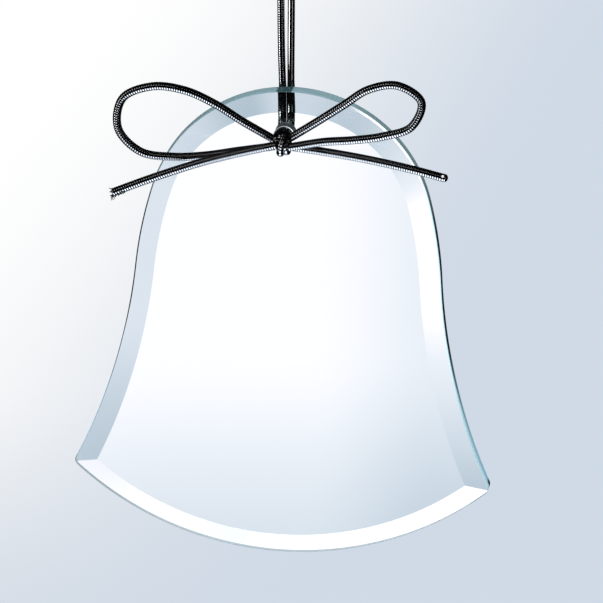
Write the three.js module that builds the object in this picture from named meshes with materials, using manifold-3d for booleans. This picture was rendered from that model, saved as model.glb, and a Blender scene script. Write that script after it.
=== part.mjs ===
import * as THREE from 'three';
import { mergeVertices } from 'three/addons/utils/BufferGeometryUtils.js';
import Module from 'manifold-3d';

// Millimetres. +Z is up, the front faces -Y, and the origin is where a hook holds the cord's loop.
const deg = Math.PI / 180;

// glass plate
const bellHeight = 103.0;
const crownRadius = 30.7;
const crownSweep = 73.9 * deg;
const sideRadius = 92.0;
const sideSweep = 11.6 * deg;
const flareRadius = 128.0;
const bottomRadius = 67.8;
const cornerRadius = 1.0;
const glassThickness = 5.0;
const bevelWidth = 4.3;
const bevelDrop = 1.2;
const holeDiameter = 4.6;
const holeAcross = -1.55;
const holeDown = 9.65;
const holeChamfer = 0.4;

// how the plate hangs: its hole's back mouth is on the strands, its weight straight below the hook
const plateLean = 4.8 * deg;
const plateRoll = 2.42 * deg;
const holeSpotAcross = 0.38;
const holeSpotForward = 1.5;
const holeSpotDown = 49.72;

// cord
const cordDiameter = 1.8;
const cordSides = 8;
const strandSpacing = 2.1;
const loopRadius = 3.7;
const loopLength = 14.0;
const swingGap = 0.9;
const upperLength = 2.1;
const tipGap = 0.7;
const middleLength = 2.7;
const twistGap = 0.3;
const neckDown = 9.6;
const neckOut = 0.35;
const bellyDown = 6.0;
const bellyIn = 0.7;
const pairTwist = 30 * deg;
const lipTwist = 12 * deg;
const pairDrift = 0.33;
const pairSpacing = 2.05;
const pairRise = 0.08;
const bendRadius = 3.1;

// bow knot
const knotAcross = 0.22;
const knotDrop = 0.61;
const knotGap = 0.27;
const knotWrapRadius = 1.85;
const knotWrapTilt = 24 * deg;
const knotWrapSlant = 12 * deg;
const knotWrapOffset = 0.35;
const knotCoreWidth = 2.9;
const knotCoreDepth = 3.2;
const knotCoreHeight = 3.8;

const at = (x, y, z) => new THREE.Vector3(x, y, z);
const cordRadius = cordDiameter / 2;

const plateTurn = new THREE.Euler(plateLean, plateRoll, 0, 'XYZ');
const holeSpot = at(holeSpotAcross, -holeSpotForward, -holeSpotDown);
const plateOrigin = holeSpot.clone().sub(at(holeAcross, 0, -holeDown).applyEuler(plateTurn));
const holeFront = holeSpot.clone().add(at(0, -glassThickness, 0).applyEuler(plateTurn));
const knotCentre = at(
  holeFront.x + knotAcross,
  holeFront.y - knotGap - knotWrapRadius - cordRadius,
  holeFront.z - knotDrop,
);

const wasm = await Module();
wasm.setup();

const toSolid = (geometry) => {
  const bare = geometry.clone();
  bare.deleteAttribute('normal');
  bare.deleteAttribute('uv');
  const merged = mergeVertices(bare, 1e-5);
  const vertProperties = new Float32Array(merged.attributes.position.array);
  const triVerts = new Uint32Array(merged.index.array);
  return new wasm.Manifold(new wasm.Mesh({ numProp: 3, vertProperties, triVerts }));
};

const toGeometry = (solid) => {
  const mesh = solid.getMesh();
  const geometry = new THREE.BufferGeometry();
  geometry.setAttribute('position', new THREE.BufferAttribute(new Float32Array(mesh.vertProperties), 3));
  geometry.setIndex(new THREE.BufferAttribute(new Uint32Array(mesh.triVerts), 1));
  geometry.computeVertexNormals();
  return geometry;
};

const arcPoints = (centre, radius, from, to, steps) => {
  const points = [];
  for (let i = 0; i <= steps; i += 1) {
    const angle = from + ((to - from) * i) / steps;
    points.push(at(centre.x + radius * Math.cos(angle), 0, centre.z + radius * Math.sin(angle)));
  }
  return points;
};

// the lower meeting point of two circles in the plate's plane
const meetCircles = (a, radiusA, b, radiusB) => {
  const gap = a.distanceTo(b);
  const along = (gap * gap + radiusA * radiusA - radiusB * radiusB) / (2 * gap);
  const off = Math.sqrt(radiusA * radiusA - along * along);
  const way = b.clone().sub(a).normalize();
  const side = at(-way.z, 0, way.x);
  const foot = a.clone().addScaledVector(way, along);
  const one = foot.clone().addScaledVector(side, off);
  const two = foot.clone().addScaledVector(side, -off);
  return one.z < two.z ? one : two;
};

const angleOf = (centre, point) => Math.atan2(point.z - centre.z, point.x - centre.x);

// centres of the outline's arcs on the right half, each tangent to the one before
const crownCentre = at(0, 0, -crownRadius);
const crownEnd = Math.PI / 2 - crownSweep;
const sideShift = sideRadius - crownRadius;
const sideCentre = at(-sideShift * Math.cos(crownEnd), 0, crownCentre.z - sideShift * Math.sin(crownEnd));
const sideEnd = crownEnd - sideSweep;
const flareShift = sideRadius + flareRadius;
const flareCentre = at(
  sideCentre.x + flareShift * Math.cos(sideEnd),
  0,
  sideCentre.z + flareShift * Math.sin(sideEnd),
);
const bottomCentre = at(0, 0, bottomRadius - bellHeight);

// the closed outline moved inward by inset, with its lower corners sharp or rounded
const bellOutline = (inset, rounding) => {
  const flare = flareRadius + inset;
  const bottom = bottomRadius - inset;
  const turn = meetCircles(flareCentre, flare + rounding, bottomCentre, bottom - rounding);
  const flareEnd = angleOf(flareCentre, turn);
  const bottomStart = angleOf(bottomCentre, turn);
  const crown = arcPoints(crownCentre, crownRadius - inset, Math.PI / 2, crownEnd, 24);
  const side = arcPoints(sideCentre, sideRadius - inset, crownEnd, sideEnd, 5);
  const from = sideEnd + Math.PI;
  const to = flareEnd < 0 ? flareEnd + 2 * Math.PI : flareEnd;
  const skirt = arcPoints(flareCentre, flare, from, to, 16);
  const corner = rounding > 0 ? arcPoints(turn, rounding, to - Math.PI, bottomStart, 6).slice(1) : [];
  const base = arcPoints(bottomCentre, bottom, bottomStart, -Math.PI / 2, 18).slice(1);
  const half = [...crown, ...side.slice(1), ...skirt.slice(1), ...corner, ...base];
  const other = half.slice(1, -1).reverse().map((p) => at(-p.x, 0, p.z));
  return [...half, ...other];
};

// a closed body through matching rings of points, each at its own distance in front of the back face
const ringBody = (rings) => {
  const count = rings[0].points.length;
  const positions = [];
  rings.forEach((ring) => ring.points.forEach((p) => positions.push(p.x, -ring.forward, p.z)));
  const index = [];
  for (let r = 0; r + 1 < rings.length; r += 1) {
    for (let i = 0; i < count; i += 1) {
      const next = (i + 1) % count;
      const a = r * count + i;
      const b = r * count + next;
      const c = (r + 1) * count + next;
      const d = (r + 1) * count + i;
      index.push(a, c, b, a, d, c);
    }
  }
  const cap = (ring, start, facing) => {
    const flat = ring.points.map((p) => new THREE.Vector2(p.x, p.z));
    THREE.ShapeUtils.triangulateShape(flat, []).forEach(([a, b, c]) => {
      const turn = THREE.ShapeUtils.area([flat[a], flat[b], flat[c]]);
      if (turn * facing > 0) index.push(start + a, start + b, start + c);
      else index.push(start + a, start + c, start + b);
    });
  };
  cap(rings[0], 0, -1);
  cap(rings[rings.length - 1], (rings.length - 1) * count, 1);
  const geometry = new THREE.BufferGeometry();
  geometry.setAttribute('position', new THREE.Float32BufferAttribute(positions, 3));
  geometry.setIndex(index);
  return geometry;
};

const bevelled = ringBody([
  { points: bellOutline(0, 0), forward: 0 },
  { points: bellOutline(0, 0), forward: glassThickness - bevelDrop },
  { points: bellOutline(bevelWidth, 0), forward: glassThickness },
]);
const rounded = ringBody([
  { points: bellOutline(0, cornerRadius), forward: -1 },
  { points: bellOutline(0, cornerRadius), forward: glassThickness + 1 },
]);

const holeRadius = holeDiameter / 2;
const lip = holeChamfer + 0.5;
const holeProfile = [
  new THREE.Vector2(0, -0.5),
  new THREE.Vector2(holeRadius + lip, -0.5),
  new THREE.Vector2(holeRadius, holeChamfer),
  new THREE.Vector2(holeRadius, glassThickness - holeChamfer),
  new THREE.Vector2(holeRadius + lip, glassThickness + 0.5),
  new THREE.Vector2(0, glassThickness + 0.5),
];
const drill = new THREE.LatheGeometry(holeProfile, 40);
drill.rotateX(Math.PI);
drill.translate(holeAcross, 0, -holeDown);
const glass = toSolid(bevelled).intersect(toSolid(rounded)).subtract(toSolid(drill));

// a length of cord along a curve
const section = new THREE.Shape();
for (let i = 0; i < cordSides; i += 1) {
  const angle = ((i + 0.5) * 2 * Math.PI) / cordSides;
  const x = cordRadius * Math.cos(angle);
  const y = cordRadius * Math.sin(angle);
  if (i === 0) section.moveTo(x, y);
  else section.lineTo(x, y);
}
section.closePath();

const cordAlong = (points, steps) => {
  const path = new THREE.CatmullRomCurve3(points, false, 'centripetal');
  return new THREE.ExtrudeGeometry(section, { steps, bevelEnabled: false, extrudePath: path });
};

const straightCord = (from, to) => {
  const path = new THREE.LineCurve3(from, to);
  return new THREE.ExtrudeGeometry(section, { steps: 1, bevelEnabled: false, extrudePath: path });
};

// the loop over the hook, its foot ends straight for one diameter
const strandHalf = strandSpacing / 2;
const archDown = loopRadius - cordRadius;
const loopPoints = [
  at(-strandHalf, 0, -loopLength),
  at(-strandHalf, 0, cordDiameter - loopLength),
  at(-strandHalf - neckOut, 0, -neckDown),
  at(-loopRadius + bellyIn, 0, -bellyDown),
  at(-loopRadius, 0, -archDown),
  at(-loopRadius * Math.SQRT1_2, 0, loopRadius * Math.SQRT1_2 - archDown),
  at(0, 0, cordRadius),
  at(loopRadius * Math.SQRT1_2, 0, loopRadius * Math.SQRT1_2 - archDown),
  at(loopRadius, 0, -archDown),
  at(loopRadius - bellyIn, 0, -bellyDown),
  at(strandHalf + neckOut, 0, -neckDown),
  at(strandHalf, 0, cordDiameter - loopLength),
  at(strandHalf, 0, -loopLength),
];

const upperTop = -loopLength - swingGap;
const upperFoot = upperTop - upperLength;
const middleTop = upperFoot - tipGap;
const middleFoot = middleTop - middleLength;
const lowerTop = middleFoot - twistGap;

const shortStrand = (side, top, foot) =>
  straightCord(at(side * strandHalf, 0, top), at(side * strandHalf, 0, foot));

// a strand from under the twist joint, down behind the glass and forward through the hole
const lowerStrand = (side) => {
  const start = lowerTop - cordDiameter;
  const sweep = Math.PI / 2 - plateLean;
  const bendTop = holeSpot.z + pairRise + bendRadius * Math.sin(sweep);
  const points = [at(side * strandHalf, 0, lowerTop), at(side * strandHalf, 0, start)];
  for (let i = 1; i <= 4; i += 1) {
    const part = i / 4;
    const turn = i < 4 ? (pairTwist * i) / 3 : lipTwist;
    const half = strandHalf * (1 - part) + (pairSpacing / 2) * part;
    const across = side * half * Math.cos(turn) + pairDrift * part ** 3;
    points.push(at(across, side * half * Math.sin(turn), start + (bendTop - start) * part));
  }
  const top = points[points.length - 1];
  const radius = bendRadius + top.y;
  for (let i = 1; i <= 4; i += 1) {
    const angle = (sweep * i) / 4;
    points.push(at(top.x, radius * Math.cos(angle) - bendRadius, bendTop - radius * Math.sin(angle)));
  }
  const last = points[points.length - 1];
  const run = at(0, -Math.cos(plateLean), -Math.sin(plateLean));
  const passLength = (last.y - holeFront.y) / Math.cos(plateLean);
  points.push(last.clone().addScaledVector(run, passLength / 2));
  points.push(last.clone().addScaledVector(run, passLength));
  return cordAlong(points, 52);
};

const wrap = (side) => {
  const ring = new THREE.TorusGeometry(knotWrapRadius, cordRadius, 10, 28);
  ring.rotateY(Math.PI / 2 + side * knotWrapTilt);
  ring.rotateX(side * knotWrapSlant);
  const shift = side * knotWrapOffset;
  ring.translate(knotCentre.x + shift, knotCentre.y, knotCentre.z + shift / 2);
  return toSolid(ring);
};
const core = new THREE.SphereGeometry(1, 20, 14);
core.scale(knotCoreWidth / 2, knotCoreDepth / 2, knotCoreHeight / 2);
core.translate(knotCentre.x, knotCentre.y, knotCentre.z);
const knot = wrap(-1).add(wrap(1)).add(toSolid(core));

// the bow's routes, measured from the middle of the knot
const fromKnot = (x, y, z) => at(x, y, z).add(knotCentre);
const leftLoop = [
  fromKnot(-2.5, 0.3, 0.75),
  fromKnot(-8.6, -0.1, 4.25),
  fromKnot(-14.5, -0.4, 7.95),
  fromKnot(-20.9, -0.7, 10.75),
  fromKnot(-27.8, -0.8, 11.45),
  fromKnot(-34.1, -0.9, 8.75),
  fromKnot(-35.1, -0.9, 2.25),
  fromKnot(-30.4, -0.8, -2.65),
  fromKnot(-23.5, -0.6, -3.65),
  fromKnot(-16.6, -0.3, -3.25),
  fromKnot(-9.7, 0, -2.15),
  fromKnot(-2.9, 0.3, -1.15),
];
const rightLoop = [
  fromKnot(2.5, 0, 1.55),
  fromKnot(7.9, -0.5, 5.05),
  fromKnot(13.1, -0.9, 8.55),
  fromKnot(18.4, -1.3, 12.05),
  fromKnot(24.6, -1.5, 13.05),
  fromKnot(29.6, -1.7, 9.65),
  fromKnot(27.5, -1.8, 4.35),
  fromKnot(21.5, -1.7, 2.15),
  fromKnot(15.2, -1.6, 1.15),
  fromKnot(8.8, -1.4, 0.55),
  fromKnot(2.5, -1.1, -0.65),
];
const leftTail = [
  fromKnot(-2.3, -1.9, -0.55),
  fromKnot(-9.2, -2.2, -2.15),
  fromKnot(-16, -2.5, -3.95),
  fromKnot(-22.7, -2.7, -6.15),
  fromKnot(-29.3, -2.9, -8.55),
  fromKnot(-35.9, -3.1, -11.15),
];
const rightTail = [
  fromKnot(2.3, 1.4, -1.35),
  fromKnot(8.8, 1.3, -2.15),
  fromKnot(15.2, 1.1, -3.05),
  fromKnot(21.6, 0.9, -4.15),
  fromKnot(28, 0.7, -5.45),
  fromKnot(34.3, 0.5, -6.95),
];

const glassLook = new THREE.MeshStandardMaterial({
  color: 0xd8eef0,
  roughness: 0.04,
  metalness: 0,
  transparent: true,
  opacity: 0.35,
});
const cordLook = new THREE.MeshStandardMaterial({ color: 0x8d9096, roughness: 0.3, metalness: 0.85 });

const named = (name, geometry, look) => {
  const mesh = new THREE.Mesh(geometry, look.clone());
  mesh.name = name;
  return mesh;
};

const group = new THREE.Group();
group.name = 'glass_bell_ornament';
const bell = named('glass_bell', toGeometry(glass), glassLook);
bell.position.copy(plateOrigin);
bell.rotation.copy(plateTurn);
group.add(bell);
group.add(named('loop_crown', cordAlong(loopPoints, 44), cordLook));
group.add(named('strand_left_upper', shortStrand(-1, upperTop, upperFoot), cordLook));
group.add(named('strand_right_upper', shortStrand(1, upperTop, upperFoot), cordLook));
group.add(named('strand_left_middle', shortStrand(-1, middleTop, middleFoot), cordLook));
group.add(named('strand_right_middle', shortStrand(1, middleTop, middleFoot), cordLook));
group.add(named('strand_left_lower', lowerStrand(-1), cordLook));
group.add(named('strand_right_lower', lowerStrand(1), cordLook));
group.add(named('bow_knot', toGeometry(knot), cordLook));
group.add(named('bow_loop_left', cordAlong(leftLoop, 34), cordLook));
group.add(named('bow_loop_right', cordAlong(rightLoop, 30), cordLook));
group.add(named('tail_left', cordAlong(leftTail, 12), cordLook));
group.add(named('tail_right', cordAlong(rightTail, 12), cordLook));

export default group;
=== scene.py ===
import math
import random
import bpy
import bmesh
from mathutils import Matrix, Vector
from mathutils.geometry import tessellate_polygon


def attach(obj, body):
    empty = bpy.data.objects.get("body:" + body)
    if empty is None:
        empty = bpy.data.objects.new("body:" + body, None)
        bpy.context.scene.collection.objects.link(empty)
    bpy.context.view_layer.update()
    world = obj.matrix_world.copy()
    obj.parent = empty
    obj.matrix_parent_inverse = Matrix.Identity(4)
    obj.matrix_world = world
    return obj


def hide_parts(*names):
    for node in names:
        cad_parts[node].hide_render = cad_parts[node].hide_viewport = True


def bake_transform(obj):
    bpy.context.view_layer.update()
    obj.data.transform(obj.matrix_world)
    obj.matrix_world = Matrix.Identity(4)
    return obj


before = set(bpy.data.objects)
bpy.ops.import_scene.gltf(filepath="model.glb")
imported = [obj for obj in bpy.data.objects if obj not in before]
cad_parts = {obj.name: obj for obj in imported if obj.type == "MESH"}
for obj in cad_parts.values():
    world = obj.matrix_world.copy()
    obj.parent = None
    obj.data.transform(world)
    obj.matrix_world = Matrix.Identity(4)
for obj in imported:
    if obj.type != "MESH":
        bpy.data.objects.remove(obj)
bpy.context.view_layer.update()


def mm(x, y, z):
    return Vector((x, y, z)) * 0.001  # routes and places are given in millimetres


def ramp(value, first, over):
    return max(0.0, min(1.0, (value - first) / over))


# the camera: a long lens, a little above the bell and to its right
cameraSet = {
    "aim": mm(3.272, 0, -87.295),
    "distance": 1.8,
    "azimuth": 7.5,
    "elevation": 12.6,
    "pictureWidth": 0.12862,  # what the picture spans at the bell, in metres
    "sensor": 36.0,
    "clipEnd": 100,
}

# how the plate hangs, where its hole sits on the strands, and its outline and edges
plate = {
    "lean": math.radians(4.8),
    "roll": math.radians(2.42),
    "holeSpot": mm(0.38, -1.5, -49.72),
    "holeAcross": -1.55,
    "holeDown": 9.65,
    "holeDiameter": 4.05,
    "holeChamfer": 0.27,
    "holeSides": 64,
    "thickness": 5.0,
    "height": 103.0,
    "crownRadius": 30.7,
    "crownSweep": math.radians(73.9),
    "sideRadius": 92.0,
    "sideSweep": math.radians(11.6),
    "flareRadius": 128.0,
    "bottomRadius": 67.8,
    "cornerRadius": 1.5,
    "bevelWidth": 4.3,
    "bevelDrop": 1.2,
    "mitreBelow": -80,  # under this height the bevels of flare and bottom meet in a mitre
    "arris": 0.30,  # the sharp edges are dulled most down the left side and least along the bottom
    "arrisLeast": 0.12,
    "arrisSides": 0.4,
    "arrisLeft": (20, 6),  # a place and the length of the change there, as in the next two
    "arrisHigh": (-62, 14),
    "arrisLow": (-84, 4),
    "arcSteps": (80, 12, 36, 18, 60),  # round the crown, side, flare, corner and bottom
    "crease": math.radians(8),
}

plateTurn = Matrix.Rotation(plate["lean"], 3, "X") @ Matrix.Rotation(plate["roll"], 3, "Y")
plateOrigin = plate["holeSpot"] - plateTurn @ mm(plate["holeAcross"], 0, -plate["holeDown"])
holeFront = plate["holeSpot"] + plateTurn @ mm(0, -plate["thickness"], 0)

# the cord's route, in millimetres from the inside of the hook's loop, and how its tube is meshed
cord = {
    "diameter": 1.8,
    "strandHalf": 1.12,
    "loopRadius": 3.7,
    "loopLength": 14.0,
    "neckDown": 9.6,
    "neckOut": 0.35,
    "bellyDown": 6.0,
    "bellyIn": 0.7,
    "loopBend": (4.6, 0.05),  # two heights above the loop's end; bendStart and bendEnd are set at them
    "sideSwingDown": 14.45,
    "frontSwingDown": 17.35,
    "twistDown": 20.55,
    "twistEnd": 35.0,
    "joinSlip": 0.001,
    "lowerTop": 20.7,
    "pairTwist": math.radians(30),
    "twistBy": 0.75,  # the share of the way down at which the strands have turned by pairTwist
    "lipTwist": math.radians(12),
    "pairDrift": 0.33,
    "pairHalf": 0.90,
    "pairRise": 0.08,
    "bendRadius": 3.1,
    "swellDown": (39.3, 3.0),  # behind the crown the strands are pressed to the glass, and thicker
    "strandIn": 1.2,  # how far the strands run on into the knot
    "bowIn": 1.1,
    "bowBendFrom": 1.0,
    "sides": 18,
    "ringsPerRib": 8,
    "routeStep": 0.2,
    "grooveFrom": 0.45,  # how far from a rib's middle its valley starts
    "domeRings": 5,
    "tipRings": 6,
    "pathEvery": 4,
}
# the foil's winding: close in the slack bow, drawn out and thinner where the bell's weight stretches it
# the last number of each winding sets how strongly the rib valleys are darkened: painted shade where the
# grooves lie in shadow, strongest in the slack bow and the knot
slack = {"diameter": 1.8, "pitch": 0.52, "depth": 0.085, "grooveShade": 0.97}
taut = {"diameter": 1.53, "pitch": 0.50, "depth": 0.01, "grooveShade": 0.3, "swell": 0.21}
uneven = {"diameter": 1.55, "pitch": 0.50, "depth": 0.022, "grooveShade": 0.5, "swell": 0.23}
tied = {"diameter": 1.74, "pitch": 0.62, "depth": 0.15, "grooveShade": 0.97}
knot = {
    "across": 0.22,
    "gap": 0.27,
    "wrapRadius": 1.85,
    "down": 0.61,
    "phase": 0.3,
    "core": (0.0012, 0.0013, 0.0019),  # half its size in metres
}
knotForward = knot["gap"] + knot["wrapRadius"] + cord["diameter"] / 2
knotCentre = holeFront + mm(knot["across"], -knotForward, -knot["down"])


# shader maths as expressions
class Socket:
    def __init__(self, tree, out):
        self.tree, self.out = tree, out

    def node(self, kind, settings=None, **inputs):
        made = self.tree.nodes.new(kind)
        for key, value in (settings or {}).items():
            setattr(made, key, value)
        for key, value in inputs.items():
            name = key.replace("_", " ").strip()
            numbered = name[:1] == "i" and name[1:].isdigit()
            slot = made.inputs[int(name[1:]) if numbered else name]
            if isinstance(value, Socket):
                self.tree.links.new(value.out, slot)
            else:
                slot.default_value = value
        return Socket(self.tree, made.outputs[0]), made

    def math(self, operation, other=0.0, first=None):
        a = self if first is None else first
        return self.node("ShaderNodeMath", {"operation": operation}, i0=a, i1=other)[0]

    def __add__(self, other):
        return self.math("ADD", other)

    __radd__ = __add__

    def __sub__(self, other):
        return self.math("SUBTRACT", other)

    def __rsub__(self, other):
        return self.math("SUBTRACT", self, other)

    def __mul__(self, other):
        return self.math("MULTIPLY", other)

    __rmul__ = __mul__

    def __truediv__(self, other):
        return self.math("DIVIDE", other)

    def clamp(self, low=0.0, high=1.0):
        return self.math("MAXIMUM", low).math("MINIMUM", high)

    def soft(self):
        held = self.clamp()
        return held * held * (3 - held * 2)

    def place(self):
        return outputOf(self, "ShaderNodeTexCoord", "Object")

    def split(self, vector):
        made = self.node("ShaderNodeSeparateXYZ", None, Vector=vector)[1]
        return [Socket(self.tree, out) for out in made.outputs]

    def blend(self, first, second):
        made = self.node("ShaderNodeMix", {"data_type": "RGBA"})[1]
        self.tree.links.new(self.out, made.inputs[0])
        for slot, value in ((6, first), (7, second)):
            if isinstance(value, Socket):
                self.tree.links.new(value.out, made.inputs[slot])
            else:
                made.inputs[slot].default_value = (*value, 1)
        return Socket(self.tree, made.outputs[2])


def newMaterial(name):
    material = bpy.data.materials.new(name)
    material.use_nodes = True
    tree = material.node_tree
    tree.nodes.clear()
    end = tree.nodes.new("ShaderNodeOutputMaterial")
    return material, tree, end, Socket(tree, None)


def principled(tree, end, values, links=None):
    shader = tree.nodes.new("ShaderNodeBsdfPrincipled")
    for key, value in values.items():
        shader.inputs[key].default_value = value
    for key, value in (links or {}).items():
        tree.links.new(value.out, shader.inputs[key])
    tree.links.new(shader.outputs[0], end.inputs["Surface"])
    return shader


def outputOf(base, kind, name, settings=None, **inputs):
    made = base.node(kind, settings, **inputs)[1]
    return Socket(base.tree, made.outputs[name])


# step rises from 0 at first and falls drops to 0 at last, each over a length. A pair in the looks
# below is such a place and length, and where there is a third number it is the size of the step
def step(value, first, over, gain=1.0):
    return ((value - first) / over).soft() * gain


def falls(value, last, over):
    return ((last - value) / over).soft()


glassLook = {"ior": 1.52, "passes": (0.42, 0.86, 0.80), "density": 22.0}


def glassMaterial(name, roughness, tint, clear=1.0, glow=None):
    material, tree, end, base = newMaterial(name)
    shader = principled(tree, end, {
        "Roughness": roughness,
        "IOR": glassLook["ior"],
        "Transmission Weight": clear,
    })
    if callable(tint):
        tree.links.new(tint(base).out, shader.inputs["Base Color"])
    else:
        shader.inputs["Base Color"].default_value = (*tint, 1)
    if glow:
        tree.links.new(glow(base).out, shader.inputs["Emission Color"])
        shader.inputs["Emission Strength"].default_value = 1.0
    volume = tree.nodes.new("ShaderNodeVolumeAbsorption")
    volume.inputs["Color"].default_value = (*glassLook["passes"], 1)
    volume.inputs["Density"].default_value = glassLook["density"]
    tree.links.new(volume.outputs[0], end.inputs["Volume"])
    return material


# the ground edge: teal over the crown, with painted shade where the strands pass behind it; towards the
# right its front half is painted pale and its back half painted dark, darkest where the side is straight;
# the pale parts, the flare and the bottom get a painted glow, grey along the bottom. The places are in
# millimetres
edge = {
    "tint": {
        "crown": (0.22, 0.355, 0.385),
        "strands": (0.035, 0.085, 0.095),
        "brow": (0.96, 1.0, 1.0),
        "pale": (0.72, 0.93, 0.95),
        "palest": (0.42, 0.62, 0.66),
        "shoulder": (0.17, 0.28, 0.30),
        "side": (0.01, 0.034, 0.036),
        "flare": (0.27, 0.46, 0.54),
        "corner": (0.02, 0.07, 0.09),
        "bottom": (0.30, 0.34, 0.36),
    },
    "glow": {
        "crown": (0, 0, 0),
        "strands": (0, 0, 0),
        "brow": (0.27, 0.28, 0.29),
        "pale": (0.13, 0.25, 0.285),
        "palest": (0.10, 0.17, 0.19),
        "shoulder": (0, 0, 0),
        "side": (0, 0, 0),
        "flare": (0.05, 0.12, 0.16),
        "corner": (0, 0, 0),
        "bottom": (0.29, 0.34, 0.37),
    },
    "split": 2.6,  # how far forward the dark back half reaches
    "splitGrows": (24, 8, 0.3),
    "splitFalls": (50, 20, 0.9),
    "splitOver": 0.4,
    "rightFrom": (9, 8),
    "leftFrom": (24, 4),
    "browEnd": (14, 14),
    "shoulderEnd": (17, 14),
    "flareFrom": (52, 26),
    "cornerFrom": (83.8, 1.0),
    "bottomFrom": (85.4, 0.7),
    "bottomEnd": (41.5, 1.5),
    "strandShadeAcross": -2.0,
    "strandShadeHalf": (1.9, 0.5),
    "strandShadeDown": (6, 1.0),
}


def alongPlate(base, axis):
    way = plateTurn @ Vector(axis)
    spot = base.node("ShaderNodeVectorMath", {"operation": "DOT_PRODUCT"}, i0=base.place(), i1=tuple(way))[1]
    return (Socket(base.tree, spot.outputs["Value"]) - way.dot(plateOrigin)) * 1000.0


def edgeTones(base, tones):
    across, up, forward = (alongPlate(base, axis) for axis in ((1, 0, 0), (0, 0, 1), (0, -1, 0)))
    down = 0 - up
    split = step(down, *edge["splitGrows"]) + edge["split"] - step(down, *edge["splitFalls"])
    front = step(forward, split, edge["splitOver"])
    flare = step(down, *edge["flareFrom"])
    dark = step(down, *edge["shoulderEnd"]).blend(tones["shoulder"], tones["side"])
    dark = flare.blend(dark, tones["flare"])
    dark = step(down, *edge["cornerFrom"]).blend(dark, tones["corner"])
    pale = step(down, *edge["browEnd"]).blend(tones["brow"], tones["pale"])
    pale = flare.blend(pale, tones["palest"])
    # painted shade: the crown is darkened where the strands pass behind it
    aside = (across - edge["strandShadeAcross"]).math("ABSOLUTE")
    strandShade = falls(aside, *edge["strandShadeHalf"]) * falls(down, *edge["strandShadeDown"])
    tone = strandShade.blend(tones["crown"], tones["strands"])
    tone = step(across, *edge["rightFrom"]).blend(tone, front.blend(dark, pale))
    tone = step(0 - across, *edge["leftFrom"]).blend(tone, dark)
    under = step(down, *edge["bottomFrom"]) * falls(across, *edge["bottomEnd"])
    return under.blend(tone, tones["bottom"])


def edgeTintAndShade(base):
    return edgeTones(base, edge["tint"])


def edgePaintedGlow(base):
    return edgeTones(base, edge["glow"])


# the hole's ground rim in front has a painted glint, an emission brightest at the right; its wall stays dull
rim = {
    "wall": (0.008, 0.012, 0.015),
    "left": (0.22, 0.25, 0.26),
    "right": (1.25, 1.3, 1.3),
    "rightFrom": (-2.2, 3),
    "behind": 0.05,  # its light starts this far behind the chamfer
    "over": 0.08,
}


def rimPaintedGlint(base):
    rimFrom = plate["thickness"] - plate["holeChamfer"] - rim["behind"]
    front = step(alongPlate(base, (0, -1, 0)), rimFrom, rim["over"])
    right = step(alongPlate(base, (1, 0, 0)), *rim["rightFrom"])
    return front.blend(rim["wall"], right.blend(rim["left"], rim["right"]))


def plainMaterial(name, colour, roughness):
    material, tree, end = newMaterial(name)[:3]
    principled(tree, end, {"Base Color": (*colour, 1), "Roughness": roughness})
    return material


foilLook = {
    "worn": (0.44, 0.44, 0.45),
    "bright": (0.62, 0.62, 0.64),
    # the near-black of the rib valleys is painted shade
    "grooveShade": (0.008, 0.008, 0.009),
    "wearScale": 900.0,
    "sparkleScale": 5200.0,
    "smooth": 0.03,
    "sparkle": 0.1,
    "roughness": (0.05, 0.2),
    "ior": 1.5,
}


def foilMaterial():
    material, tree, end, base = newMaterial("metallicWrap")
    place = base.place()
    wear = outputOf(base, "ShaderNodeTexNoise", "Fac", None, Vector=place, Scale=foilLook["wearScale"],
                    Detail=2.0)
    sparkle = outputOf(base, "ShaderNodeTexNoise", "Fac", None, Vector=place,
                       Scale=foilLook["sparkleScale"], Detail=1.0)
    # the foil is darkened in the rib valleys by this attribute: painted shade in the grooves
    grooveShadeMask = outputOf(base, "ShaderNodeAttribute", "Fac", {"attribute_name": "grooveShadeMask"})
    colour = grooveShadeMask.blend(wear.blend(foilLook["worn"], foilLook["bright"]), foilLook["grooveShade"])
    roughness = (sparkle * foilLook["sparkle"] + foilLook["smooth"]).clamp(*foilLook["roughness"])
    values = {"Metallic": 1.0, "IOR": foilLook["ior"]}
    principled(tree, end, values, {"Base Color": colour, "Roughness": roughness})
    return material


clearGlass = glassMaterial("clearGlass", 0.0, (0.985, 1.0, 0.995))
# the ground edge's tones hold painted light and shade, and its emission is a painted glow
groundGlass = glassMaterial("groundEdge", 0.2, edgeTintAndShade, 0.15, edgePaintedGlow)
# the drilled rim's emission is a painted glint
holeGlass = glassMaterial("drilledWall", 0.15, (0.93, 1.0, 1.0), 0.85, rimPaintedGlint)
# the white core bead is partly a painted highlight
coreBeadAndGlint = plainMaterial("elasticCoreAndGlint", (0.80, 0.80, 0.78), 0.5)
looseFoil = plainMaterial("looseFoil", (0.02, 0.022, 0.025), 0.28)
foil = foilMaterial()
print("materials ready")


def addObject(name, data):
    made = bpy.data.objects.new(name, data)
    bpy.context.scene.collection.objects.link(made)
    return made


def addMesh(name, verts, faces, materials):
    mesh = bpy.data.meshes.new(name)
    mesh.from_pydata([tuple(v) for v in verts], [], faces)
    for material in materials:
        mesh.materials.append(material)
    mesh.validate()
    mesh.shade_smooth()
    return addObject(name, mesh)


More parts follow.
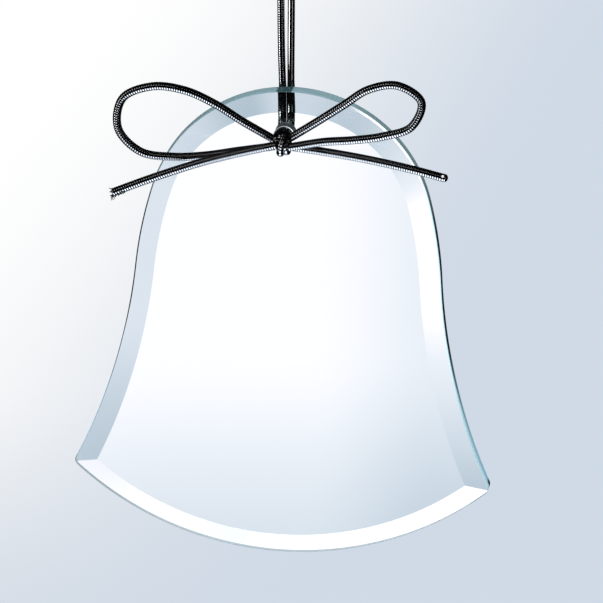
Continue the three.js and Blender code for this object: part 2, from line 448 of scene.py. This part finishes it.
# a centripetal Catmull-Rom line through the route's points, the same as the CAD's
def smoothRoute(points, longest):
    ends = [points[0] * 2 - points[1]] + list(points) + [points[-1] * 2 - points[-2]]
    line = []
    for p0, p1, p2, p3 in zip(ends, ends[1:], ends[2:], ends[3:]):
        knots = [0.0]
        for a, b in ((p0, p1), (p1, p2), (p2, p3)):
            knots.append(knots[-1] + max((b - a).length, 1e-9) ** 0.5)
        t0, t1, t2, t3 = knots
        count = max(2, math.ceil((p2 - p1).length / longest))
        for i in range(count):
            t = t1 + (t2 - t1) * i / count
            a1 = p0 * ((t1 - t) / (t1 - t0)) + p1 * ((t - t0) / (t1 - t0))
            a2 = p1 * ((t2 - t) / (t2 - t1)) + p2 * ((t - t1) / (t2 - t1))
            a3 = p2 * ((t3 - t) / (t3 - t2)) + p3 * ((t - t2) / (t3 - t2))
            b1 = a1 * ((t2 - t) / (t2 - t0)) + a2 * ((t - t0) / (t2 - t0))
            b2 = a2 * ((t3 - t) / (t3 - t1)) + a3 * ((t - t1) / (t3 - t1))
            line.append(b1 * ((t2 - t) / (t2 - t1)) + b2 * ((t - t1) / (t2 - t1)))
    line.append(points[-1].copy())
    return line


def evenly(line, apart):
    lengths = [0.0]
    for a, b in zip(line, line[1:]):
        lengths.append(lengths[-1] + (b - a).length)
    total = lengths[-1]
    count = max(2, round(total / apart))
    result, j = [], 0
    for i in range(count + 1):
        want = total * i / count
        while j < len(line) - 2 and lengths[j + 1] < want:
            j += 1
        span = lengths[j + 1] - lengths[j]
        result.append(line[j].lerp(line[j + 1], (want - lengths[j]) / span if span else 0))
    return result, total


# a cord of wound foil: a tube whose skin winds round it in fine ribs; dome rounds off its far end
def woundCord(name, points, winding, phase=0.0, dome=0.0):
    radius, depth = winding["diameter"] / 2 * 0.001, winding["depth"] * 0.001
    rib = winding["pitch"] * 0.001
    path, total = evenly(smoothRoute(points, cord["routeStep"] * 0.001), rib / cord["ringsPerRib"])
    sides, grooveFrom = cord["sides"], cord["grooveFrom"]
    verts, faces, grooveShadeMasks = [], [], []
    tangent = (path[1] - path[0]).normalized()
    side = tangent.orthogonal().normalized()
    for i, point in enumerate(path):
        ahead = path[min(i + 1, len(path) - 1)] - path[max(i - 1, 0)]
        turn = tangent.rotation_difference(ahead.normalized())
        tangent = ahead.normalized()
        side = (turn @ side).normalized()
        other = tangent.cross(side)
        along = total * i / (len(path) - 1)
        lower = ramp(-point.z * 1000, *cord["swellDown"])
        outer = radius + lower * winding.get("swell", 0) / 2 * 0.001
        for k in range(sides):
            angle = 2 * math.pi * k / sides
            across = 2 * ((along / rib - angle / (2 * math.pi) + phase) % 1) - 1
            size = outer - depth * (1 - math.sqrt(1 - across * across))
            verts.append(point + (side * math.cos(angle) + other * math.sin(angle)) * size)
            # each rib's valley gets painted shade, scaled by the winding's share
            grooveShadeMasks.append(max(0.0, (abs(across) - grooveFrom) / (1 - grooveFrom)) * winding["grooveShade"])
    for i in range(len(path) - 1):
        for k in range(sides):
            nextK = (k + 1) % sides
            a, b = i * sides + k, i * sides + nextK
            faces.append((a, b, b + sides, a + sides))
    faces.append(tuple(range(sides - 1, -1, -1)))
    last = (len(path) - 1) * sides
    for ring in range(1, cord["domeRings"] if dome else 0):
        rise = math.pi / 2 * ring / cord["domeRings"]
        for k in range(sides):
            spoke = verts[(len(path) - 1) * sides + k] - path[-1]
            verts.append(path[-1] + spoke * math.cos(rise) + tangent * dome * 0.001 * math.sin(rise))
            grooveShadeMasks.append(0.0)
            nextK = (k + 1) % sides
            faces.append((last + k, last + nextK, last + sides + nextK, last + sides + k))
        last += sides
    faces.append(tuple(last + k for k in range(sides)))
    piece = addMesh(name, verts, faces, [foil])
    piece.data.attributes.new("grooveShadeMask", "FLOAT", "POINT").data.foreach_set("value", grooveShadeMasks)
    return piece, path, total


def declareCord(piece, path, total, farEnd, lay, pieces=()):
    points = [tuple(p) for p in path[::cord["pathEvery"]]] + [tuple(path[-1])]


# the hanging loop over its hook, and the strands down to the hole
def strandPoint(side, part):
    start = -(cord["lowerTop"] + cord["diameter"])
    sweep = math.pi / 2 - plate["lean"]
    bendTop = plate["holeSpot"].z * 1000 + cord["pairRise"] + cord["bendRadius"] * math.sin(sweep)
    turn = cord["pairTwist"] * part / cord["twistBy"] if part < 1 else cord["lipTwist"]
    half = cord["strandHalf"] * (1 - part) + cord["pairHalf"] * part
    across = side * half * math.cos(turn) + cord["pairDrift"] * part ** 3
    return Vector((across, side * half * math.sin(turn), start + (bendTop - start) * part))


def lowerRoute(side):
    half = cord["strandHalf"]
    points = [Vector((side * half, 0, -cord["lowerTop"]))]
    points.append(Vector((side * half, 0, -cord["lowerTop"] - cord["diameter"])))
    points += [strandPoint(side, i / 4) for i in range(1, 5)]
    top = points[-1]
    radius = cord["bendRadius"] + top.y
    sweep = math.pi / 2 - plate["lean"]
    for i in range(1, 5):
        angle = sweep * i / 4
        points.append(Vector((top.x, radius * math.cos(angle) - cord["bendRadius"],
                              top.z - radius * math.sin(angle))))
    run = Vector((0, -math.cos(plate["lean"]), -math.sin(plate["lean"])))
    length = (points[-1].y - holeFront.y * 1000) / math.cos(plate["lean"])
    last = points[-1]
    points += [last + run * (length / 2), last + run * length]
    return [p * 0.001 for p in points]


def hangingLoop():
    half, belly = cord["strandHalf"], cord["loopRadius"]
    arch = belly - cord["diameter"] / 2
    neck, low = cord["neckDown"], cord["bellyDown"]
    slant = belly * math.sqrt(0.5)
    left = [(-half, -joinDown), (-half, -cord["loopLength"]), (-half, cord["diameter"] - cord["loopLength"]),
            (-half - cord["neckOut"], -neck), (-belly + cord["bellyIn"], -low), (-belly, -arch),
            (-slant, slant - arch)]
    route = left + [(0, cord["diameter"] / 2)] + [(-x, z) for x, z in reversed(left)]
    return [mm(x, 0, z) for x, z in route]


joinDown = (cord["sideSwingDown"] + cord["frontSwingDown"]) / 2
twistTop = (cord["frontSwingDown"] + cord["twistDown"]) / 2
strandHalf = cord["strandHalf"]

loopPiece, loopPath, loopTotal = woundCord("hangingLoop", hangingLoop(), taut)
bendStart, bendEnd = (loopPath[0] + mm(strandHalf, 0, above) for above in cord["loopBend"])
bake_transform(loopPiece)
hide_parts("loop_crown")

joiners = []
for side, word in ((-1, "left"), (1, "right")):
    route = [mm(side * strandHalf, 0, -joinDown - cord["joinSlip"] - (twistTop - joinDown) * i / 3)
             for i in range(4)]
    joiner = woundCord(word + "StrandJoin", route, taut)[0]
    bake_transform(joiner)
    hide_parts("strand_" + word + "_upper")
    joiners.append(joiner)
declareCord(loopPiece, loopPath, loopTotal, "object", "taut", joiners)

strands = {}
for side, word in ((-1, "left"), (1, "right")):
    route = lowerRoute(side)
    into = (route[-1] - route[-2]).normalized() * (cord["strandIn"] * 0.001)
    route = [mm(side * strandHalf, 0, -twistTop)] + route + [route[-1] + into]
    strand, strandPath, strandTotal = woundCord(word + "Strand", route, uneven if side < 0 else taut)
    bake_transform(strand)
    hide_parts("strand_" + word + "_middle", "strand_" + word + "_lower")
    strands[word] = (strand, strandPath, strandTotal)
print("loop and strands ready")


def fromKnot(x, y, z):
    return knotCentre + mm(x, y, z)


bowRoutes = {
    "leftLoop": [
        (-2.5, 0.3, 0.75), (-8.6, -0.1, 4.25), (-14.5, -0.4, 7.95), (-20.9, -0.7, 10.75),
        (-27.8, -0.8, 11.45), (-34.1, -0.9, 8.75), (-35.1, -0.9, 2.25), (-30.4, -0.8, -2.65),
        (-23.5, -0.6, -3.65), (-16.6, -0.3, -3.25), (-9.7, 0, -2.15), (-2.9, 0.3, -1.15)],
    "rightLoop": [
        (2.5, 0, 1.55), (7.9, -0.5, 5.05), (13.1, -0.9, 8.55), (18.4, -1.3, 12.05), (24.6, -1.5, 13.05),
        (29.6, -1.7, 9.65), (27.5, -1.8, 4.35), (21.5, -1.7, 2.15), (15.2, -1.6, 1.15), (8.8, -1.4, 0.55),
        (2.5, -1.1, -0.65)],
    "leftTail": [
        (-2.3, -1.9, -0.55), (-9.2, -2.2, -2.15), (-16, -2.5, -3.95), (-22.7, -2.7, -6.15),
        (-29.3, -2.9, -8.55), (-35.9, -3.1, -11.15)],
    "rightTail": [
        (2.3, 1.4, -1.35), (8.8, 1.3, -2.15), (15.2, 1.1, -3.05), (21.6, 0.9, -4.15), (28, 0.7, -5.45),
        (34.3, 0.5, -6.95)],
}
bowPieces = {
    "leftLoop": {"body": "bow_left", "node": "bow_loop_left", "farEnd": "knot", "bend": -12, "dome": 0},
    "rightLoop": {"body": "bow_right", "node": "bow_loop_right", "farEnd": "knot", "bend": 12, "dome": 0},
    "leftTail": {"body": "end_left", "node": "tail_left", "farEnd": "bare", "bend": -14, "dome": 0.2},
    "rightTail": {"body": "end_right", "node": "tail_right", "farEnd": "bare", "bend": 14, "dome": 0.75},
}

# flakes of dark foil stand off the left tail where its end has frayed, most of them downward; a white bead
# of the elastic core shows at both cut ends, set where a glint shows: partly a painted highlight
fray = {
    "count": 34,
    "wide": 0.27,
    "thin": 0.09,
    "taper": 0.5,
    "shortest": 0.45,
    "longest": 1.1,
    "facing": 0.2,
    "spread": 1.1,
    "lean": 1.0,
    "leanFalls": 0.7,
    "curl": 0.8,
    "inset": 3.0,
    "crowding": 1.5,
    "rootOut": 0.78,
    "rings": 6,
    "sides": 6,
    "seed": 11,
}
cutEnds = {
    "leftTail": {"bead": 0.2, "back": 0.3, "forward": 0.62, "up": 0.1, "frayed": True},
    "rightTail": {"bead": 0.33, "back": 0.33, "forward": 0.62, "up": 0.34, "frayed": False},
}


def frayEnd(shape, end, way):
    chance = random.Random(fray["seed"])
    side = way.cross(Vector((0, 1, 0))).normalized()
    sides = fray["sides"]
    for flake in range(fray["count"]):
        turn = chance.gauss(fray["facing"], fray["spread"])
        outward = way.cross(side) * math.sin(turn) + side * math.cos(turn)
        across = way.cross(outward)
        back = chance.uniform(0, 1) ** fray["crowding"]
        length = chance.uniform(fray["shortest"], fray["longest"]) * 0.001
        lean = chance.uniform(0, fray["lean"]) * (1 - fray["leanFalls"] * back)
        curl = chance.uniform(-fray["curl"], fray["curl"])
        root = end - way * back * fray["inset"] * 0.001 + outward * fray["rootOut"] * 0.001
        rings = []
        for i in range(fray["rings"]):
            t = i / (fray["rings"] - 1)
            centre = root + (way + outward * lean * t + across * curl * t * t) * length * t
            wide, thin = fray["wide"] * (1 - fray["taper"] * t) * 0.001, fray["thin"] * 0.001
            angles = (2 * math.pi * k / sides for k in range(sides))
            rings.append([
                shape.verts.new(centre + across * math.cos(a) * wide + outward * math.sin(a) * thin)
                for a in angles])
        skin = [shape.faces.new((first[k], first[(k + 1) % sides], second[(k + 1) % sides], second[k]))
                for first, second in zip(rings, rings[1:]) for k in range(sides)]
        for face in skin:
            face.smooth = True
        for face in skin + [shape.faces.new(rings[0][::-1]), shape.faces.new(rings[-1])]:
            face.material_index = 2


def finishEnd(piece, path, cut):
    shape = bmesh.new()
    shape.from_mesh(piece.data)
    way = (path[-1] - path[-cord["tipRings"]]).normalized()
    if cut["frayed"]:
        frayEnd(shape, path[-1], way)
    # the white bead sits where a glint shows: the core's end and partly a painted highlight
    spot = path[-1] - way * cut["back"] * 0.001 + mm(0, -cut["forward"], cut["up"])
    bead = bmesh.ops.create_icosphere(shape, subdivisions=2, radius=cut["bead"] * 0.001,
                                      matrix=Matrix.Translation(spot))
    for face in {f for v in bead["verts"] for f in v.link_faces}:
        face.material_index = 1
        face.smooth = True
    bmesh.ops.recalc_face_normals(shape, faces=shape.faces)
    piece.data.materials.append(coreBeadAndGlint)
    piece.data.materials.append(looseFoil)
    shape.to_mesh(piece.data)
    shape.free()


bow = {}
bowIn = cord["bowIn"] * 0.001
for name, part in bowPieces.items():
    route = [fromKnot(*p) for p in bowRoutes[name]]
    route.insert(0, route[0] + (route[0] - route[1]).normalized() * bowIn)
    if part["farEnd"] == "knot":
        route.append(route[-1] + (route[-1] - route[-2]).normalized() * bowIn)
    piece, path, total = woundCord(name, route, slack, dome=part["dome"])
    if name in cutEnds:
        finishEnd(piece, path, cutEnds[name])
    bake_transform(piece)
    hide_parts(part["node"])
    bow[name] = (piece, path, total)


# the knot: two wraps that cross in front and one that bulges at each side, round a packed middle
knotRoutes = [
    [(0.5, 1.0, 1.7), (0.6, 0.1, 2.05), (0.45, -1.1, 1.75), (0.1, -1.75, 0.6), (-0.25, -1.8, -0.7),
     (-0.42, -1.35, -1.9), (-0.45, -0.2, -2.2), (-0.3, 0.9, -1.7)],
    [(-0.5, 1.0, 1.6), (-0.45, 0.1, 2.0), (-0.35, -0.9, 1.7), (0.1, -1.2, 0.4), (0.65, -1.3, -0.7),
     (0.85, -1.0, -1.6), (0.8, -0.1, -1.95), (0.6, 0.9, -1.5)],
    [(-0.7, 1.0, 1.3), (-1.1, 0.2, 1.5), (-1.25, -0.7, 1.05), (-0.95, -1.2, 0.15), (-0.3, -1.1, -0.5)],
    [(0.9, 0.9, 0.8), (1.2, 0.0, 0.9), (1.1, -0.8, 0.3), (0.5, -1.2, -0.3)],
]
knotParts = [woundCord("knotWrap", [fromKnot(*p) for p in route], tied, phase=knot["phase"] * i)[0]
             for i, route in enumerate(knotRoutes)]
core = bmesh.new()
bmesh.ops.create_icosphere(core, subdivisions=3, radius=1.0)
bmesh.ops.scale(core, vec=knot["core"], verts=core.verts)
bmesh.ops.translate(core, vec=knotCentre, verts=core.verts)
coreMesh = bpy.data.meshes.new("knotCore")
core.to_mesh(coreMesh)
core.free()
coreMesh.materials.append(foil)
knotParts.append(addObject("knotCore", coreMesh))
with bpy.context.temp_override(active_object=knotParts[0], selected_editable_objects=knotParts):
    bpy.ops.object.join()
knotPiece = knotParts[0]
knotPiece.name = "bowKnot"
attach(knotPiece, "strands_lower")
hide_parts("bow_knot")
declareCord(*strands["left"], "knot", "taut", [knotPiece])
declareCord(*strands["right"], "knot", "taut")
for name, (piece, path, total) in bow.items():
    declareCord(piece, path, total, bowPieces[name]["farEnd"], "loose")
print("bow ready")


# the plate's outline, moved inward by inset, from the top round to the right and back
def meetCircles(a, radiusA, b, radiusB):
    gap = (b - a).length
    along = (gap * gap + radiusA ** 2 - radiusB ** 2) / (2 * gap)
    off = math.sqrt(radiusA ** 2 - along ** 2)
    way = (b - a).normalized()
    foot = a + way * along
    side = Vector((-way.y, way.x)) * off
    return min(foot + side, foot - side, key=lambda p: p.y)


def ray(angle):
    return Vector((math.cos(angle), math.sin(angle)))


def arc(centre, radius, first, last, steps):
    return [centre + ray(a) * radius for a in (first + (last - first) * i / steps for i in range(steps + 1))]


crownCentre = Vector((0, -plate["crownRadius"]))
crownEnd = math.pi / 2 - plate["crownSweep"]
sideCentre = crownCentre - ray(crownEnd) * (plate["sideRadius"] - plate["crownRadius"])
sideEnd = crownEnd - plate["sideSweep"]
flareCentre = sideCentre + ray(sideEnd) * (plate["sideRadius"] + plate["flareRadius"])
bottomCentre = Vector((0, plate["bottomRadius"] - plate["height"]))


def bellOutline(inset, rounding):
    crownSteps, sideSteps, flareSteps, cornerSteps, bottomSteps = plate["arcSteps"]
    flare, bottom = plate["flareRadius"] + inset, plate["bottomRadius"] - inset
    turn = meetCircles(flareCentre, flare + rounding, bottomCentre, bottom - rounding)
    flareEnd = math.atan2(*(turn - flareCentre).yx) % (2 * math.pi)
    bottomStart = math.atan2(*(turn - bottomCentre).yx)
    half = arc(crownCentre, plate["crownRadius"] - inset, math.pi / 2, crownEnd, crownSteps)
    half += arc(sideCentre, plate["sideRadius"] - inset, crownEnd, sideEnd, sideSteps)[1:]
    half += arc(flareCentre, flare, sideEnd + math.pi, flareEnd, flareSteps)[1:]
    half += arc(turn, rounding, flareEnd - math.pi, bottomStart, cornerSteps)[1:]
    half += arc(bottomCentre, bottom, bottomStart, -math.pi / 2, bottomSteps)[1:]
    return half + [Vector((-p.x, p.y)) for p in reversed(half[1:-1])]


def bevelRise(p):
    if p.y > plate["mitreBelow"]:
        return 0.0
    flareMiddle = Vector((math.copysign(flareCentre.x, p.x), flareCentre.y))
    fromFlare = (p - flareMiddle).length - plate["flareRadius"]
    fromBottom = plate["bottomRadius"] - (p - bottomCentre).length
    return max(0.0, min(fromFlare, fromBottom)) * plate["bevelDrop"] / plate["bevelWidth"]


def arrisAt(p):
    least, most = plate["arrisLeast"], plate["arris"]
    left = ramp(-p.x, *plate["arrisLeft"]) * ramp(p.y, *plate["arrisHigh"])
    share = max(left, plate["arrisSides"] * ramp(p.y, *plate["arrisLow"]))
    return least + (most - least) * share


def onPlate(p, forward):
    return plateOrigin + plateTurn @ mm(p.x, -forward, p.y)


def makePlate():
    thick, most, drop = plate["thickness"], plate["arris"], plate["bevelDrop"]
    land = thick - drop
    rounding = plate["cornerRadius"]
    slope = drop / plate["bevelWidth"]
    outer = bellOutline(0, rounding)
    small = [arrisAt(p) for p in outer]
    dulled = [p.lerp(q, w / most) for p, q, w in zip(outer, bellOutline(most, rounding - most), small)]
    rings = [
        [(p, 0.0) for p in dulled],
        [(p, w) for p, w in zip(outer, small)],
        [(p, land - w + bevelRise(p)) for p, w in zip(outer, small)],
        [(p, land + w * slope + max(0, bevelRise(p) - w * slope)) for p, w in zip(dulled, small)],
        [(p, thick) for p in bellOutline(plate["bevelWidth"], 0)],
    ]
    verts, faces, kinds = [], [], []
    clear, ground, drilled = range(3)
    for ring in rings:
        verts += [onPlate(p, forward) for p, forward in ring]
    count = len(outer)
    for r in range(len(rings) - 1):
        for i in range(count):
            j = (i + 1) % count
            faces.append((r * count + i, (r + 1) * count + i, (r + 1) * count + j, r * count + j))
            kinds.append(ground if r < 3 else clear)
    hole, centre = plate["holeDiameter"] / 2, Vector((plate["holeAcross"], -plate["holeDown"]))
    chamfer, steps = plate["holeChamfer"], plate["holeSides"]
    start = len(verts)
    mouth, wall = ([centre + ray(-2 * math.pi * k / steps) * radius for k in range(steps)]
                   for radius in (hole + chamfer, hole))
    for ring, forward in ((mouth, 0.0), (wall, chamfer), (wall, thick - chamfer), (mouth, thick)):
        verts += [onPlate(p, forward) for p in ring]
    for r in range(3):
        for k in range(steps):
            n = (k + 1) % steps
            faces.append((start + r * steps + k, start + r * steps + n, start + (r + 1) * steps + n,
                          start + (r + 1) * steps + k))
            kinds.append(drilled)
    inner = [Vector((p.x, p.y, 0)) for p in mouth]
    flatFaces = ((0, start, rings[0], True), ((len(rings) - 1) * count, start + 3 * steps, rings[-1], False))
    for ringStart, holeStart, ring, flip in flatFaces:
        border = [Vector((p.x, p.y, 0)) for p, forward in ring]
        flat = border + inner
        for triangle in tessellate_polygon([border, inner]):
            a, b, c = (flat[t] for t in triangle)
            turn = (b - a).cross(c - a).z
            ids = [ringStart + t if t < count else holeStart + t - count for t in triangle]
            if (turn > 0) == flip:
                ids.reverse()
            faces.append(tuple(ids))
            kinds.append(clear)
    mesh = bpy.data.meshes.new("bevelledBell")
    mesh.from_pydata([tuple(v) for v in verts], [], faces)
    for material in (clearGlass, groundGlass, holeGlass):
        mesh.materials.append(material)
    for face, kind in zip(mesh.polygons, kinds):
        face.material_index = kind
    shape = bmesh.new()
    shape.from_mesh(mesh)
    bmesh.ops.remove_doubles(shape, verts=shape.verts, dist=1e-7)
    for face in shape.faces:
        face.smooth = True
    for seam in shape.edges:
        if len(seam.link_faces) == 2 and seam.calc_face_angle(0) > plate["crease"]:
            seam.smooth = False
    bmesh.ops.recalc_face_normals(shape, faces=shape.faces)
    shape.to_mesh(mesh)
    shape.free()
    return addObject("bevelledBell", mesh)


bellPiece = makePlate()
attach(bellPiece, "bell")
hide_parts("glass_bell")
print("glass ready")

# the floor spreads to a far white rim that curves up all round; it is paler at the left and white behind
# there, painted light
stage = {
    "floorDown": -0.30,
    "flatReach": 3.5,
    "rimReach": 9.0,
    "rimTop": 7.0,
    "rimSteps": 12,
    "lidAbove": 4.0,
    "sides": 64,
    "pale": (0.631, 0.70, 0.79),
    "paleLeft": (0.70, 0.735, 0.785),
    "white": (1.0, 1.0, 1.0),
    "left": (-0.07, 0.20),
    "behind": (0.45, 0.37),
    "far": (1.50, 0.5),
}
# a lit sheet well below shines through the plate alone: it brightens with distance, most of all
# where the face looks, and differs a little from right to left; whatever a mirror turns aside looks
# past it at the room
litSheet = {
    "down": -1.0,
    "reach": 60.0,
    "sides": 48,
    "level": 0.56,
    "rise": (2.58, 0.95, 0.31),
    "farRise": (5.0, 2.0, 0.17),
    "farEnd": (0.07, 0.035),
    "faceFrom": (0.05, 0.04),
    "faceRise": (3.35, 0.60, 0.24),
    "faceEdge": (0.104, 0.025, 0.15),
    "crownGain": (0.09, 0.19),
    "crownEnd": (2.95, 0.5),
    "rightFrom": (0.15, 0.06),
    "rightGain": 0.04,
    "rightRise": (2.7, 0.3, 0.06),
    "coolTint": (0.85, 1.0, 1.18),
    "plainTint": (1.07, 1.0, 1.05),
    "tintFrom": 0.56,
    "tintOver": 0.58,
}


def floorGlow(base):
    x, y, z = base.split(base.place())
    left = falls(x, *stage["left"])
    far = step((x * x + y * y).math("SQRT"), *stage["far"])
    # painted light: paler at the left and white behind it there; far off the floor turns white
    tone = 1 - (1 - left * step(y, *stage["behind"])) * (1 - far)
    return tone.blend(left.blend(stage["pale"], stage["paleLeft"]), stage["white"]), None


def sheetGlow(base):
    x, y, z = base.split(base.place())
    out = (x * x + y * y).math("SQRT")
    left = 0 - x / out
    level = step(out, *litSheet["rise"]) + litSheet["level"]
    edgeFrom, edgeOver, edgeFall = litSheet["faceEdge"]
    face = step(out, *litSheet["faceRise"]) - (1 - step(left, edgeFrom, edgeOver)) * edgeFall
    level = level + face * step(left, *litSheet["faceFrom"])
    right = step(left, *litSheet["rightFrom"])
    crownOver, crownGain = litSheet["crownGain"]
    crown = step(left, 0, crownOver) * crownGain * (1 - right) * (1 - step(out, *litSheet["crownEnd"]))
    far = step(out, *litSheet["farRise"]) * (1 - step(left, *litSheet["farEnd"]))
    level = level + crown + far + right * (step(out, *litSheet["rightRise"]) + litSheet["rightGain"])
    cast = ((level - litSheet["tintFrom"]) / litSheet["tintOver"]).clamp()
    return cast.blend(litSheet["coolTint"], litSheet["plainTint"]), level


def glowing(name, glow, directOnly=False):
    material, tree, end, base = newMaterial(name)
    colour, strength = glow(base)
    light = tree.nodes.new("ShaderNodeEmission")
    tree.links.new(colour.out, light.inputs["Color"])
    if strength:
        tree.links.new(strength.out, light.inputs["Strength"])
    shown = light.outputs[0]
    if directOnly:
        turned = outputOf(base, "ShaderNodeLightPath", "Glossy Depth")
        mix = tree.nodes.new("ShaderNodeMixShader")
        past = tree.nodes.new("ShaderNodeBsdfTransparent")
        tree.links.new(turned.math("LESS_THAN", 0.5).out, mix.inputs[0])
        tree.links.new(past.outputs[0], mix.inputs[1])
        tree.links.new(shown, mix.inputs[2])
        shown = mix.outputs[0]
    tree.links.new(shown, end.inputs["Surface"])
    return material


def makeStage():
    flat, wide, down, top = stage["flatReach"], stage["rimReach"], stage["floorDown"], stage["rimTop"]
    profile = [(0.0, down), (flat, down)]
    for i in range(1, stage["rimSteps"] + 1):
        angle = math.pi / 2 * i / stage["rimSteps"]
        profile.append((flat + (wide - flat) * math.sin(angle), down + top * (1 - math.cos(angle))))
    profile.append((0.0, top + stage["lidAbove"]))
    sides = stage["sides"]
    verts = [(r * math.cos(2 * math.pi * k / sides), r * math.sin(2 * math.pi * k / sides), h)
             for r, h in profile for k in range(sides)]
    corners = ((0, 0), (0, 1), (1, 1), (1, 0))
    faces = [tuple((i + up) * sides + (k + on) % sides for up, on in corners)
             for i in range(len(profile) - 1) for k in range(sides)]
    floor = addMesh("floor", verts, faces, [glowing("paleFloor", floorGlow)])
    floor.visible_glossy = floor.visible_transmission = floor.visible_diffuse = False
    drum = bmesh.new()
    reach = litSheet["reach"]
    bmesh.ops.create_cone(drum, cap_ends=True, segments=litSheet["sides"], radius1=reach, radius2=reach,
                          depth=reach, matrix=Matrix.Translation((0, 0, litSheet["down"] + reach / 2)))
    mesh = bpy.data.meshes.new("litSheet")
    drum.to_mesh(mesh)
    drum.free()
    mesh.materials.append(glowing("litSheet", sheetGlow, True))
    sheet = addObject("litSheet", mesh)
    sheet.visible_glossy = sheet.visible_camera = False


lamps = {
    "topLight": {"place": (-0.3, 0.3, 1.4), "size": 1.2, "power": 16},
    "sideLight": {"place": (1.2, -0.9, 0.8), "size": 0.8, "power": 6},
}
lampAim = (0, 0, -0.08)


def areaLight(name, place, size, power):
    data = bpy.data.lights.new(name, "AREA")
    data.shape, data.size, data.size_y = "RECTANGLE", size, size
    data.energy = power
    light = addObject(name, data)
    light.location = place
    light.rotation_euler = (Vector(lampAim) - Vector(place)).to_track_quat("-Z", "Y").to_euler()
    light.visible_glossy = light.visible_transmission = False


# what the metal and the glass mirror: a dark room with a bright patch of table low in front, pale
# light behind, upright strips and two small boxes overhead. A strip has its angle and half width in
# degrees, its light and its lowest and highest place; a box has its direction, half width and light
room = {
    "dark": 0.004,
    "tableFrom": (0.50, 0.04),
    "tableAcross": -0.10,
    "tableHalf": (0.34, 0.14),
    "tableBack": (0.25, 0.3),
    "tableLight": 3.4,
    "tableTint": (0.90, 1.0, 1.13),
    "bandEnd": (0.62, 0.10),
    "bandLight": -0.6,
    "behindFrom": (0.88, 0.08),
    "behindTop": (0.55, 0.2),
    "behindLight": 0.03,
    "strips": [(-60.0, 9.0, 9.0, -0.34, -0.10), (41.0, 3.5, 2.2, -0.34, -0.10)],
    "stripEnds": 0.1,
    "stripCrisp": 2,
    "boxes": [((-0.66, -0.60, 0.45), 11.0, 1.5), ((0.26, -0.79, 0.55), 5.0, 1.5)],
    "boxCrisp": 3,
}


def spread(toward, halfWidth, crisp):
    least = math.cos(math.radians(halfWidth))
    return ((toward - least) / (1 - least) * crisp).soft()


def makeWorld():
    world = bpy.data.worlds.new("studio")
    bpy.context.scene.world = world
    world.use_nodes = True
    tree = world.node_tree
    base = Socket(tree, None)
    x, y, z = base.split(outputOf(base, "ShaderNodeTexCoord", "Generated"))
    low = step(0 - z, *room["tableFrom"])
    upper = 1 - step(0 - z, *room["bandEnd"])
    between = falls((x - room["tableAcross"]).math("ABSOLUTE"), *room["tableHalf"])
    behind = step(y, *room["behindFrom"]) * falls(z, *room["behindTop"])
    straight = 1 - outputOf(base, "ShaderNodeLightPath", "Is Transmission Ray")
    table = low * between * falls(y, *room["tableBack"]) * straight
    light = table * (upper * room["bandLight"] + room["tableLight"])
    light = light + behind * room["behindLight"] + room["dark"]
    level = (x * x + y * y).math("SQRT")
    for azimuth, halfWidth, strength, lowest, highest in room["strips"]:
        turn = math.radians(azimuth)
        toward = (x * math.sin(turn) - y * math.cos(turn)) / level
        tall = step(z, lowest, room["stripEnds"]) * falls(z, highest, room["stripEnds"])
        light = light + spread(toward, halfWidth, room["stripCrisp"]) * tall * strength
    for aim, halfWidth, strength in room["boxes"]:
        way = Vector(aim).normalized()
        toward = x * way.x + y * way.y + z * way.z
        light = light + spread(toward, halfWidth, room["boxCrisp"]) * strength
    background = tree.nodes["Background"]
    tree.links.new(low.blend((1, 1, 1), room["tableTint"]).out, background.inputs["Color"])
    tree.links.new(light.out, background.inputs["Strength"])


def makeCamera():
    data = bpy.data.cameras.new("camera")
    data.sensor_fit = "HORIZONTAL"
    data.sensor_width = cameraSet["sensor"]
    data.lens = cameraSet["sensor"] * cameraSet["distance"] / cameraSet["pictureWidth"]
    data.clip_end = cameraSet["clipEnd"]
    camera = addObject("camera", data)
    turn, rise = math.radians(cameraSet["azimuth"]), math.radians(cameraSet["elevation"])
    back = Vector((math.sin(turn) * math.cos(rise), -math.cos(turn) * math.cos(rise), math.sin(rise)))
    camera.location = cameraSet["aim"] + back * cameraSet["distance"]
    camera.rotation_euler = back.to_track_quat("Z", "Y").to_euler()
    bpy.context.scene.camera = camera


makeStage()
makeWorld()
for name, lamp in lamps.items():
    areaLight(name, **lamp)
bpy.context.scene.view_settings.view_transform = "Standard"
makeCamera()
print("stage ready")
